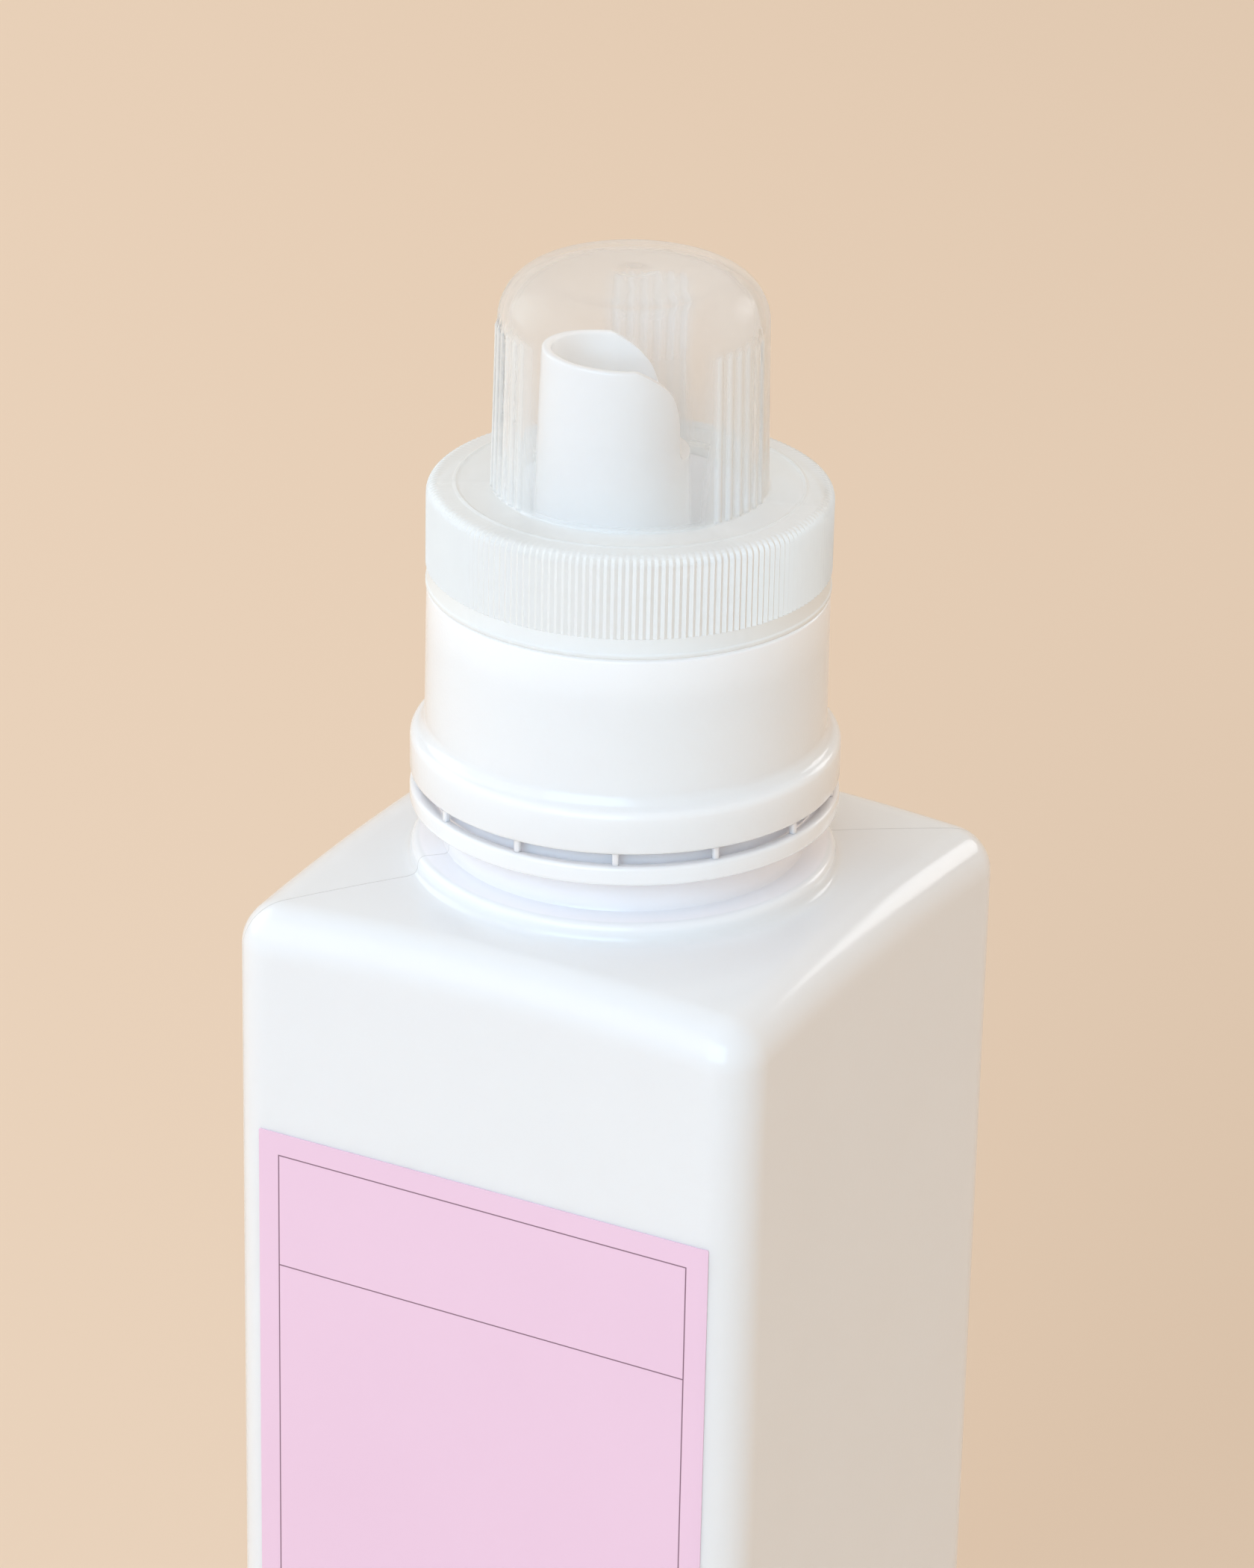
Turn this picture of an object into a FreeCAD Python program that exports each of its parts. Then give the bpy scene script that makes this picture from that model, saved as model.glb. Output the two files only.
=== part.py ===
import FreeCAD, Part

import math
import os

from FreeCAD import Vector

# Laundry detergent bottle with a pouring closure and a clear measuring cap, in millimetres.
# The origin is the centre of the base, +Z is up, and the label is on the -Y face.

# Share of a rounding that a straight bevel takes where it stands for it
STRAIGHT_EDGE = 0.6

# Body of the bottle
BODY_WIDTH = 66.0
BODY_HEIGHT = 160.0
BODY_CORNER = 5.1
SHOULDER_EDGE = 4.6
SHOULDER_RISE = 0.8
SHOULDER_RISE_RADIUS = 28.4
BASE_EDGE = 3.6
BOTTLE_WALL = 1.0
BASE_RIM_WIDTH = 7.0
BASE_HOLLOW = 2.4
BASE_HOLLOW_EDGE = 1.5

# Neck of the bottle
NECK_RING_RADIUS = 24.2
NECK_RING_HEIGHT = 2.2
NECK_RING_EDGE = 0.5
NECK_RADIUS = 20.6
NECK_WALL = 1.9
NECK_HEIGHT = 28.5
RETAINING_BEAD = 1.3
RETAINING_BEAD_HEIGHT = 1.6
BEAD_OVER_CATCH = 0.4

# Outside of the closure
CLOSURE_WALL = 1.3
COLLAR_RADIUS = 22.65
COLLAR_HEIGHT = 16.5
FLANGE_RADIUS = 24.4
FLANGE_HEIGHT = 4.8
FLANGE_SLOPE = 1.0
BAND_HEIGHT = 1.9
BAND_ABOVE_RING = 4.8
BRIDGE_SINK = 0.2
CATCH_REACH = 1.1
CATCH_HEIGHT = 1.2
BRIDGE_COUNT = 13
BRIDGE_WIDTH = 1.1
BRIDGE_GAP = 1.9
BRIDGE_START_ANGLE = -36.4

# Inside of the closure
CAP_CARRIER_RADIUS = 20.6
CAP_CARRIER_HEIGHT = 9.4
CARRIER_WALL = 1.4
LEDGE_THICKNESS = 1.6
PLUG_CLEARANCE = 0.12
PLUG_WALL = 1.2
PLUG_DEPTH = 9.6
TROUGH_FLOOR_DEPTH = 6.0
TROUGH_FLOOR_WALL = 1.2
TROUGH_FLOOR_TILT = 6.0

# Pouring spout
SPOUT_LIP_ANGLE = -127.0
SPOUT_OFFSET = 2.2
SPOUT_FOOT_RADIUS = 9.2
SPOUT_MOUTH_RADIUS = 8.1
SPOUT_HEIGHT = 32.7
SPOUT_WALL = 1.1
MOUTH_TILT = 4.0
NOTCH_REACH = 5.3
NOTCH_DEPTH = 11.6
NOTCH_SHOULDER = 7.0
NOTCH_CORNER = 1.2
DRAIN_SLOT_WIDTH = 4.0

# Measuring cap
CAP_RADIUS = 22.75
CAP_WALL = 1.2
CAP_SEAT_GAP = 0.25
SKIRT_HEIGHT = 11.85
RIM_BAND_HEIGHT = 2.4
RIM_BAND_INSET = 0.35
KNURL_COUNT = 180
KNURL_DEPTH = 0.3
SKIRT_EDGE = 1.2
DOME_RADIUS = 15.25
DOME_HEIGHT = 25.0
DOME_EDGE = 5.9
DOME_EDGE_STEPS = 3
GATE_RADIUS = 2.4
GATE_DEPTH = 0.4
RIB_GROUPS = 3
RIBS_PER_GROUP = 6
RIB_PITCH = 5.8
RIB_GROUP_ANGLE = -9.0
RIB_WIDTH = 0.95
RIB_STAND = 0.35

# Label
LABEL_WIDTH = 57.7
LABEL_HEIGHT = 118.0
LABEL_TOP_DROP = 28.1
LABEL_SHIFT = 0.25
LABEL_THICKNESS = 0.15
LABEL_CORNER = 1.0

# Levels worked out from the sizes above
RING_TOP = BODY_HEIGHT + NECK_RING_HEIGHT
NECK_LIP = BODY_HEIGHT + NECK_HEIGHT
BAND_FOOT = RING_TOP + BAND_ABOVE_RING
BAND_TOP = BAND_FOOT + BAND_HEIGHT
FLANGE_FOOT = BAND_TOP + BRIDGE_GAP
FLANGE_TOP = FLANGE_FOOT + FLANGE_HEIGHT
COLLAR_FOOT = FLANGE_TOP + FLANGE_SLOPE
CAP_SEAT = COLLAR_FOOT + COLLAR_HEIGHT
CARRIER_TOP = CAP_SEAT + CAP_CARRIER_HEIGHT
LEDGE_TOP = NECK_LIP + LEDGE_THICKNESS
PLUG_FOOT = NECK_LIP - PLUG_DEPTH
TROUGH_FLOOR = NECK_LIP - TROUGH_FLOOR_DEPTH
SPOUT_FOOT = NECK_LIP
SPOUT_MOUTH = SPOUT_FOOT + SPOUT_HEIGHT
CAP_RIM = CAP_SEAT + CAP_SEAT_GAP
CAP_SHOULDER = CAP_RIM + SKIRT_HEIGHT
CAP_TOP = CAP_SHOULDER + DOME_HEIGHT

# Radii worked out from the sizes above
NECK_BORE = NECK_RADIUS - NECK_WALL
PLUG_RADIUS = NECK_BORE - PLUG_CLEARANCE
COLLAR_INSIDE = COLLAR_RADIUS - CLOSURE_WALL
FLANGE_INSIDE = FLANGE_RADIUS - CLOSURE_WALL
SKIRT_INSIDE = CAP_RADIUS - CAP_WALL
UP = Vector(0, 0, 1)
CENTRE = Vector(0, 0, 0)


def at(radius, height):
    """A point of a turned profile, in the XZ plane."""
    return Vector(radius, 0, height)


def line(start, end):
    return Part.LineSegment(start, end).toShape()


def arc(start, middle, end):
    return Part.Arc(start, middle, end).toShape()


def rounding(centre, radius, steps):
    """Points along a quarter turn, from straight out to straight up, on a turned profile."""
    points = []
    for step in range(steps + 1):
        angle = math.pi / 2 * step / steps
        points.append(centre + at(radius * math.cos(angle), radius * math.sin(angle)))
    return points


def turned(points):
    """The solid that a closed profile of straight sides makes when it turns once about the Z axis."""
    loop = points + points[:1]
    edges = [line(start, end) for start, end in zip(loop, loop[1:])]
    face = Part.Face(Part.Wire(edges))
    return face.revolve(CENTRE, UP, 360)


def rounded_square(width, corner, height, foot):
    """An upright prism with rounded upright edges, centred on the Z axis."""
    box = Part.makeBox(width, width, height, Vector(-width / 2, -width / 2, foot))
    upright = [edge for edge in box.Edges if abs(edge.tangentAt(edge.FirstParameter).z) > 0.9]
    return box.makeFillet(corner, upright)


def top_of(solid):
    """The highest flat face of a solid."""
    return max(solid.Faces, key=lambda face: face.CenterOfMass.z)


def foot_of(solid):
    """The lowest flat face of a solid."""
    return min(solid.Faces, key=lambda face: face.CenterOfMass.z)


def body_outside():
    """The body's outer form, with a shallow rise up to the neck."""
    flat_top = BODY_HEIGHT - SHOULDER_RISE
    block = rounded_square(BODY_WIDTH, BODY_CORNER, flat_top, 0)
    block = block.makeFillet(SHOULDER_EDGE, top_of(block).OuterWire.Edges)
    block = block.makeChamfer(BASE_EDGE * STRAIGHT_EDGE, foot_of(block).OuterWire.Edges)
    rise = Part.makeCone(SHOULDER_RISE_RADIUS, NECK_RING_RADIUS, SHOULDER_RISE, at(0, flat_top))
    return block.fuse(rise)


def body_inside():
    """The room for the liquid, one wall in from the outer form."""
    wall = BOTTLE_WALL
    height = BODY_HEIGHT - SHOULDER_RISE - 2 * wall
    room = rounded_square(BODY_WIDTH - 2 * wall, BODY_CORNER - wall, height, wall)
    room = room.makeChamfer((SHOULDER_EDGE - wall) * STRAIGHT_EDGE, top_of(room).OuterWire.Edges)
    return room.makeChamfer((BASE_EDGE - wall) * STRAIGHT_EDGE, foot_of(room).OuterWire.Edges)


def base_hollow(inset):
    """The raised panel inside the standing rim, as the solid to take away."""
    width = BODY_WIDTH - 2 * BASE_RIM_WIDTH + 2 * inset
    sunk = BASE_EDGE
    hollow = rounded_square(width, BODY_CORNER + inset, BASE_HOLLOW + inset + sunk, -sunk)
    return hollow.makeChamfer(BASE_HOLLOW_EDGE, top_of(hollow).OuterWire.Edges)


def neck_ring():
    """The step at the foot of the neck, sunk a little into the shoulder."""
    sunk = NECK_RING_HEIGHT
    ring = Part.makeCylinder(NECK_RING_RADIUS, NECK_RING_HEIGHT + sunk, at(0, BODY_HEIGHT - sunk))
    return ring.makeChamfer(NECK_RING_EDGE, top_of(ring).Edges)


def retaining_bead():
    """The bead over which the tamper band snaps."""
    foot = BAND_FOOT + CATCH_HEIGHT + BEAD_OVER_CATCH
    half = RETAINING_BEAD_HEIGHT / 2
    root = NECK_RADIUS - NECK_WALL / 2
    return turned([
        at(root, foot),
        at(NECK_RADIUS + RETAINING_BEAD, foot),
        at(NECK_RADIUS + RETAINING_BEAD, foot + half),
        at(NECK_RADIUS, foot + 2 * half),
        at(root, foot + 2 * half),
    ])


def make_bottle():
    neck = Part.makeCylinder(NECK_RADIUS, NECK_HEIGHT + NECK_RING_HEIGHT,
                             at(0, BODY_HEIGHT - NECK_RING_HEIGHT))
    outside = body_outside().fuse([neck_ring(), neck, retaining_bead()])
    outside = outside.cut(base_hollow(0))
    inside = body_inside().cut(base_hollow(BOTTLE_WALL))
    bore = Part.makeCylinder(NECK_BORE, NECK_HEIGHT * 2, at(0, BODY_HEIGHT - NECK_HEIGHT / 2))
    return outside.cut(inside.fuse(bore)).removeSplitter()


def closure_shell():
    """Collar, flange, seat, cap carrier and plug, as one turned wall."""
    carrier_inside = CAP_CARRIER_RADIUS - CARRIER_WALL
    plug_inside = PLUG_RADIUS - PLUG_WALL
    return turned([
        at(FLANGE_RADIUS, FLANGE_TOP),
        at(COLLAR_RADIUS, COLLAR_FOOT),
        at(COLLAR_RADIUS, CAP_SEAT),
        at(CAP_CARRIER_RADIUS, CAP_SEAT),
        at(CAP_CARRIER_RADIUS, CARRIER_TOP),
        at(carrier_inside, CARRIER_TOP),
        at(carrier_inside, LEDGE_TOP),
        at(plug_inside, LEDGE_TOP),
        at(plug_inside, PLUG_FOOT),
        at(PLUG_RADIUS, PLUG_FOOT),
        at(PLUG_RADIUS, NECK_LIP),
        at(COLLAR_INSIDE, NECK_LIP),
        at(COLLAR_INSIDE, FLANGE_TOP - CLOSURE_WALL),
        at(FLANGE_INSIDE, FLANGE_TOP - CLOSURE_WALL),
        at(FLANGE_INSIDE, FLANGE_FOOT),
        at(FLANGE_RADIUS, FLANGE_FOOT),
    ])


def tamper_band():
    """The tear-off ring, with a catch that turns in under the bead of the neck."""
    return turned([
        at(FLANGE_RADIUS, BAND_FOOT),
        at(FLANGE_RADIUS, BAND_TOP),
        at(FLANGE_INSIDE, BAND_TOP),
        at(FLANGE_INSIDE, BAND_FOOT + CATCH_HEIGHT),
        at(FLANGE_INSIDE - CATCH_REACH, BAND_FOOT + CATCH_HEIGHT),
        at(FLANGE_INSIDE, BAND_FOOT),
    ])


def bridges():
    """The small webs that hold the band to the flange until it is torn."""
    sunk = BRIDGE_SINK
    depth = CLOSURE_WALL - 2 * sunk
    web = Part.makeBox(depth, BRIDGE_WIDTH, BRIDGE_GAP + 2 * sunk,
                       Vector(FLANGE_INSIDE + sunk, -BRIDGE_WIDTH / 2, BAND_TOP - sunk))
    pitch = 360.0 / BRIDGE_COUNT
    return [web.rotated(CENTRE, UP, BRIDGE_START_ANGLE + pitch * turn) for turn in range(BRIDGE_COUNT)]


def tilted_slab(height, thickness, tilt):
    """A wide plate through the axis at a height, dropping away from the spout's lip."""
    reach = 4 * FLANGE_RADIUS
    slab = Part.makeBox(reach, reach, thickness, Vector(-reach / 2, -reach / 2, height))
    slab.rotate(at(0, height), Vector(0, 1, 0), -tilt)
    slab.rotate(CENTRE, UP, SPOUT_LIP_ANGLE)
    return slab


def spout_cone(low, high):
    """The spout's tapered outside, on its own axis, between two heights."""
    slope = (SPOUT_MOUTH_RADIUS - SPOUT_FOOT_RADIUS) / SPOUT_HEIGHT
    low_radius = SPOUT_FOOT_RADIUS + slope * (low - SPOUT_FOOT)
    high_radius = SPOUT_FOOT_RADIUS + slope * (high - SPOUT_FOOT)
    cone = Part.makeCone(low_radius, high_radius, high - low, at(SPOUT_OFFSET, low))
    cone.rotate(CENTRE, UP, SPOUT_LIP_ANGLE)
    return cone


def notch_cutter():
    """The side of the spout that is open for drips, as the solid to take away."""
    far = 2 * SPOUT_FOOT_RADIUS
    above = SPOUT_MOUTH + SPOUT_FOOT_RADIUS
    foot = SPOUT_MOUTH - NOTCH_DEPTH
    bend = NOTCH_SHOULDER * (1 - math.sqrt(0.5))
    top = at(0, SPOUT_MOUTH)
    side = at(-NOTCH_REACH, SPOUT_MOUTH - NOTCH_SHOULDER)
    middle = at(-NOTCH_REACH * math.sqrt(0.5), SPOUT_MOUTH - bend)
    gain = NOTCH_CORNER * (1 - math.sqrt(0.5))
    bend_start = at(-NOTCH_REACH, foot + NOTCH_CORNER)
    bend_middle = at(-NOTCH_REACH - gain, foot + gain)
    bend_end = at(-NOTCH_REACH - NOTCH_CORNER, foot)
    edges = [
        line(at(0, above), top),
        arc(top, middle, side),
        line(side, bend_start),
        arc(bend_start, bend_middle, bend_end),
        line(bend_end, at(-far, foot)),
        line(at(-far, foot), at(-far, above)),
        line(at(-far, above), at(0, above)),
    ]
    cutter = Part.Face(Part.Wire(edges)).extrude(Vector(0, 2 * far, 0))
    cutter.translate(Vector(SPOUT_OFFSET, -far, 0))
    return cutter.rotated(CENTRE, UP, SPOUT_LIP_ANGLE)


def drain_slot():
    """The narrow slot below the notch, through which the trough empties."""
    length = SPOUT_FOOT_RADIUS * 2
    height = SPOUT_MOUTH - NOTCH_DEPTH / 2 - TROUGH_FLOOR
    slot = Part.makeBox(length, DRAIN_SLOT_WIDTH, height + TROUGH_FLOOR_WALL,
                        Vector(SPOUT_OFFSET - length, -DRAIN_SLOT_WIDTH / 2, TROUGH_FLOOR - TROUGH_FLOOR_WALL))
    return slot.rotated(CENTRE, UP, SPOUT_LIP_ANGLE)


def spout_and_trough():
    """The spout standing on the sloping floor that leads drips back to it."""
    low = PLUG_FOOT - SPOUT_WALL
    high = SPOUT_MOUTH + SPOUT_FOOT_RADIUS
    tube = spout_cone(low, high)
    bore = Part.makeCylinder(SPOUT_MOUTH_RADIUS - SPOUT_WALL, high - low, at(SPOUT_OFFSET, low))
    bore.rotate(CENTRE, UP, SPOUT_LIP_ANGLE)
    reach = high - TROUGH_FLOOR
    over_floor = tilted_slab(TROUGH_FLOOR - TROUGH_FLOOR_WALL, 2 * reach, TROUGH_FLOOR_TILT)
    under_mouth = tilted_slab(SPOUT_MOUTH, 2 * reach, MOUTH_TILT)
    tube = tube.common(over_floor).cut(under_mouth)
    tube = tube.cut(notch_cutter())
    over_trough = tilted_slab(TROUGH_FLOOR, reach, TROUGH_FLOOR_TILT)
    tube = tube.cut(drain_slot().common(over_trough))
    floor = tilted_slab(TROUGH_FLOOR - TROUGH_FLOOR_WALL, TROUGH_FLOOR_WALL, TROUGH_FLOOR_TILT)
    disc = Part.makeCylinder(PLUG_RADIUS - PLUG_WALL / 2, high - low, at(0, low))
    return tube.fuse(floor.common(disc)).cut(bore)


def make_closure():
    pieces = [tamper_band(), spout_and_trough()] + bridges()
    return closure_shell().fuse(pieces).removeSplitter()


def knurl_outline(tip_radius, height):
    """One closed zigzag line of the knurl, with its tips on a radius."""
    step = math.pi / KNURL_COUNT
    root_radius = tip_radius * (1 - KNURL_DEPTH / CAP_RADIUS)
    points = []
    for turn in range(2 * KNURL_COUNT):
        reach = root_radius if turn % 2 else tip_radius
        points.append(Vector(reach * math.cos(turn * step), reach * math.sin(turn * step), height))
    return points


def knurled_skirt():
    """The gripping part of the skirt, whose knurl runs out over the rounded edge."""
    edge = SKIRT_EDGE * STRAIGHT_EDGE
    outlines = [
        knurl_outline(CAP_RADIUS, CAP_RIM + RIM_BAND_HEIGHT),
        knurl_outline(CAP_RADIUS, CAP_SHOULDER - edge),
        knurl_outline(CAP_RADIUS - edge, CAP_SHOULDER),
    ]
    foot = outlines[0]
    top = outlines[-1]
    faces = [
        Part.Face(Part.makePolygon(foot + foot[:1])),
        Part.Face(Part.makePolygon(top + top[:1])),
    ]
    for low, high in zip(outlines, outlines[1:]):
        for turn in range(2 * KNURL_COUNT):
            after = (turn + 1) % (2 * KNURL_COUNT)
            corners = [low[turn], low[after], high[after], high[turn], low[turn]]
            faces.append(Part.Face(Part.makePolygon(corners)))
    return Part.makeSolid(Part.makeShell(faces))


def cap_shoulder_and_dome():
    """The cap without its knurl as a full turned form, from the rim band to the crown."""
    core = CAP_RADIUS - 2 * KNURL_DEPTH
    band_top = CAP_RIM + RIM_BAND_HEIGHT
    crown_centre = at(DOME_RADIUS - DOME_EDGE, CAP_TOP - DOME_EDGE)
    points = [
        at(0, CAP_RIM),
        at(CAP_RADIUS - RIM_BAND_INSET, CAP_RIM),
        at(CAP_RADIUS - RIM_BAND_INSET, band_top),
        at(core, band_top),
        at(core, CAP_SHOULDER - SKIRT_EDGE),
        at(core - SKIRT_EDGE, CAP_SHOULDER),
        at(DOME_RADIUS, CAP_SHOULDER),
    ]
    points += rounding(crown_centre, DOME_EDGE, DOME_EDGE_STEPS)
    points += [
        at(GATE_RADIUS, CAP_TOP),
        at(GATE_RADIUS / 2, CAP_TOP - GATE_DEPTH),
        at(0, CAP_TOP - GATE_DEPTH),
    ]
    return turned(points)


def cap_hollow():
    """The space inside the cap, one wall in from its outside."""
    edge = DOME_EDGE - CAP_WALL
    ceiling = CAP_TOP - CAP_WALL - GATE_DEPTH
    shoulder = CAP_SHOULDER - CAP_WALL
    crown_centre = at(DOME_RADIUS - CAP_WALL - edge, ceiling - edge)
    points = [
        at(0, CAP_RIM - CAP_WALL),
        at(SKIRT_INSIDE, CAP_RIM - CAP_WALL),
        at(SKIRT_INSIDE, shoulder),
        at(DOME_RADIUS - CAP_WALL, shoulder),
    ]
    points += rounding(crown_centre, edge, DOME_EDGE_STEPS - 1)
    points.append(at(0, ceiling))
    return turned(points)


def grip_ribs():
    """Three groups of upright ribs on the dome, each with sloping sides."""
    sunk = CAP_WALL / 2
    length = CAP_TOP - DOME_EDGE - CAP_SHOULDER
    foot = [
        Vector(-sunk, -RIB_WIDTH / 2, -sunk),
        Vector(0, -RIB_WIDTH / 2, -sunk),
        Vector(RIB_STAND, -RIB_WIDTH / 5, -sunk),
        Vector(RIB_STAND, RIB_WIDTH / 5, -sunk),
        Vector(0, RIB_WIDTH / 2, -sunk),
        Vector(-sunk, RIB_WIDTH / 2, -sunk),
    ]
    rib = Part.Face(Part.makePolygon(foot + foot[:1])).extrude(Vector(0, 0, length + sunk))
    rib.translate(at(DOME_RADIUS, CAP_SHOULDER))
    ribs = []
    for group in range(RIB_GROUPS):
        middle = RIB_GROUP_ANGLE + 360.0 / RIB_GROUPS * group
        start = middle - RIB_PITCH * (RIBS_PER_GROUP - 1) / 2
        for number in range(RIBS_PER_GROUP):
            ribs.append(rib.rotated(CENTRE, UP, start + RIB_PITCH * number))
    return ribs


def make_cap():
    outside = cap_shoulder_and_dome().fuse(knurled_skirt()).removeSplitter()
    outside = outside.fuse(grip_ribs())
    return outside.cut(cap_hollow())


def make_label():
    """A thin label glued to the front, bent a little way round the upright corners."""
    top = BODY_HEIGHT - LABEL_TOP_DROP
    foot = top - LABEL_HEIGHT
    half = BODY_WIDTH / 2
    skin = rounded_square(BODY_WIDTH + 2 * LABEL_THICKNESS, BODY_CORNER + LABEL_THICKNESS, LABEL_HEIGHT, foot)
    skin = skin.cut(rounded_square(BODY_WIDTH, BODY_CORNER, LABEL_HEIGHT, foot))
    left = LABEL_SHIFT - LABEL_WIDTH / 2
    window = Part.makeBox(LABEL_WIDTH, BODY_CORNER, LABEL_HEIGHT, Vector(left, -half - LABEL_THICKNESS, foot))
    across = [edge for edge in window.Edges if abs(edge.tangentAt(edge.FirstParameter).y) > 0.9]
    window = window.makeFillet(LABEL_CORNER, across)
    return skin.common(window)


def save(name, shape):
    solids = shape.Solids
    if len(solids) == 1:
        shape = solids[0]
    shape.exportStep("parts/" + name + ".step")
    print(name, len(solids), "solid", shape.isValid(), round(shape.Volume, 1), "mm3")


def main():
    os.makedirs("parts", exist_ok=True)
    save("bottle", make_bottle())
    save("spout_closure", make_closure())
    save("measuring_cap", make_cap())
    save("label", make_label())


main()
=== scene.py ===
import math

import bmesh
import bpy
from mathutils import Matrix, Vector


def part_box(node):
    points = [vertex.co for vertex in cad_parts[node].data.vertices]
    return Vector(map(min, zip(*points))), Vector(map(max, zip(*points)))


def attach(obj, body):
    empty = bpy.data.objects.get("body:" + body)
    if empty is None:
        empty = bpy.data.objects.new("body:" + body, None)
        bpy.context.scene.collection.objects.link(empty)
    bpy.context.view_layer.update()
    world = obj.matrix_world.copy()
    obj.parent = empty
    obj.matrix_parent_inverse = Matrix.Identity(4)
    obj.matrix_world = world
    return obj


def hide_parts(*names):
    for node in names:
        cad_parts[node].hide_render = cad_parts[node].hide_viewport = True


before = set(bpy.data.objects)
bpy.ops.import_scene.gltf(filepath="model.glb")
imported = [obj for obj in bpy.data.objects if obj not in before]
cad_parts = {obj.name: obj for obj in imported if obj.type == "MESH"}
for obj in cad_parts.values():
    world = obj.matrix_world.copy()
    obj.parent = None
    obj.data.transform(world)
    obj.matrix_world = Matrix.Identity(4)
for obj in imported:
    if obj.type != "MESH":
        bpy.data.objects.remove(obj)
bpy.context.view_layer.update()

# Laundry detergent bottle: a blown white bottle with a label, a white pouring closure and a clear
# measuring cap. Sizes are in millimetres and are scaled to metres when a piece is finished.

MM = 0.001
FULL_TURN = 2 * math.pi


def millimetres(node):
    """Lowest and highest corner of a part of the frame, in millimetres."""
    low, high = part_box(node)
    return low / MM, high / MM


BOTTLE_LOW, BOTTLE_HIGH = millimetres("bottle")
CLOSURE_LOW, CLOSURE_HIGH = millimetres("spout_closure")
CAP_LOW, CAP_HIGH = millimetres("measuring_cap")
LABEL_LOW, LABEL_HIGH = millimetres("label")

# Bottle
BODY_WIDTH = BOTTLE_HIGH.x - BOTTLE_LOW.x
BODY_HALF = BODY_WIDTH / 2
NECK_LIP = BOTTLE_HIGH.z
NECK_HEIGHT = 28.5
NECK_FOOT = NECK_LIP - NECK_HEIGHT
BODY_CORNER = 5.1
SHOULDER_EDGE = 4.6
SHOULDER_RISE = 0.8
SHOULDER_FLAT = NECK_FOOT - SHOULDER_RISE
SHOULDER_BLEND = 30
CROWN_RADIUS = 350.0
BASE_EDGE = 3.6
BASE_RIM_WIDTH = 7.0
BASE_HOLLOW = 2.4
BASE_HOLLOW_EDGE = 1.5
BASE_PANEL_EDGE = 6.0
BOTTLE_WALL = 1.0
NECK_RING_RADIUS = 24.2
NECK_RING_HEIGHT = 2.2
NECK_RING_TOP = NECK_FOOT + NECK_RING_HEIGHT
NECK_RING_EDGE = 0.8
NECK_RING_FILLET = 1.2
NECK_RADIUS = 20.6
BEAD_RADIUS = 22.2
BEAD_ABOVE_FOOT = 8.6
BEAD_FOOT = NECK_FOOT + BEAD_ABOVE_FOOT
BODY_STRIPS = 20
CORNER_STRIPS = 12
SHOULDER_STRIPS = 9
BASE_STRIPS = 7
CROWN_STRIPS = 7

# Closure
BAND_FOOT = CLOSURE_LOW.z
BAND_HEIGHT = 2.3
BAND_TOP = BAND_FOOT + BAND_HEIGHT
CATCH_HEIGHT = 1.2
CATCH_REACH = 1.1
GAP_OVER_BAND = 1.5
FLANGE_RADIUS = CLOSURE_HIGH.x
FLANGE_FOOT = BAND_TOP + GAP_OVER_BAND
FLANGE_HEIGHT = 4.8
FLANGE_TOP = FLANGE_FOOT + FLANGE_HEIGHT
FLANGE_SLOPE = 1.0
COLLAR_RADIUS = 22.65
COLLAR_FOOT = FLANGE_TOP + FLANGE_SLOPE
COLLAR_HEIGHT = 16.5
SEAT = COLLAR_FOOT + COLLAR_HEIGHT
CARRIER_RADIUS = 20.6
CARRIER_WALL = 1.4
CARRIER_HEIGHT = 9.4
CARRIER_TOP = SEAT + CARRIER_HEIGHT
CARRIER_ROWS = 36
CLOSURE_WALL = 1.3
CLOSURE_COLUMNS = 192
PLUG_RADIUS = 18.5
PLUG_WALL = 1.2
PLUG_FOOT = NECK_LIP - 9.6
TROUGH_FLOOR = NECK_LIP - 6.0
TROUGH_THICKNESS = 1.2
TROUGH_INTO_PLUG = 0.6
TROUGH_TILT = 6.0
BRIDGE_COUNT = 13
BRIDGE_START = -36.4
BRIDGE_WIDTH = 0.7
BRIDGE_SINK = 0.25
BRIDGE_INSET = 0.9
THREAD_PITCH = 3.2
THREAD_DEPTH = 0.45
THREAD_TURNS = 2.2
THREAD_START = 1.3
THREAD_RUN_OUT = 0.06
THREAD_CREST = 0.15
THREAD_FLANK = 0.75

# Spout
LIP_ANGLE = -127.0
SPOUT_OFFSET = 2.2
SPOUT_FOOT_RADIUS = 9.2
SPOUT_MOUTH_RADIUS = 8.1
SPOUT_FOOT = NECK_LIP
SPOUT_HEIGHT = 32.7
SPOUT_MOUTH = SPOUT_FOOT + SPOUT_HEIGHT
SPOUT_WALL = 1.1
SPOUT_SINK = 3
SPOUT_COLUMNS = 128
MOUTH_TILT = 4.0
MOUTH_RIM = 3
NOTCH_TURN = -12.4
NOTCH_TURN_CENTRE = 4.3
NOTCH_REACH = 5.3
NOTCH_DEPTH = 11.6
NOTCH_FOOT = SPOUT_MOUTH - NOTCH_DEPTH

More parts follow.
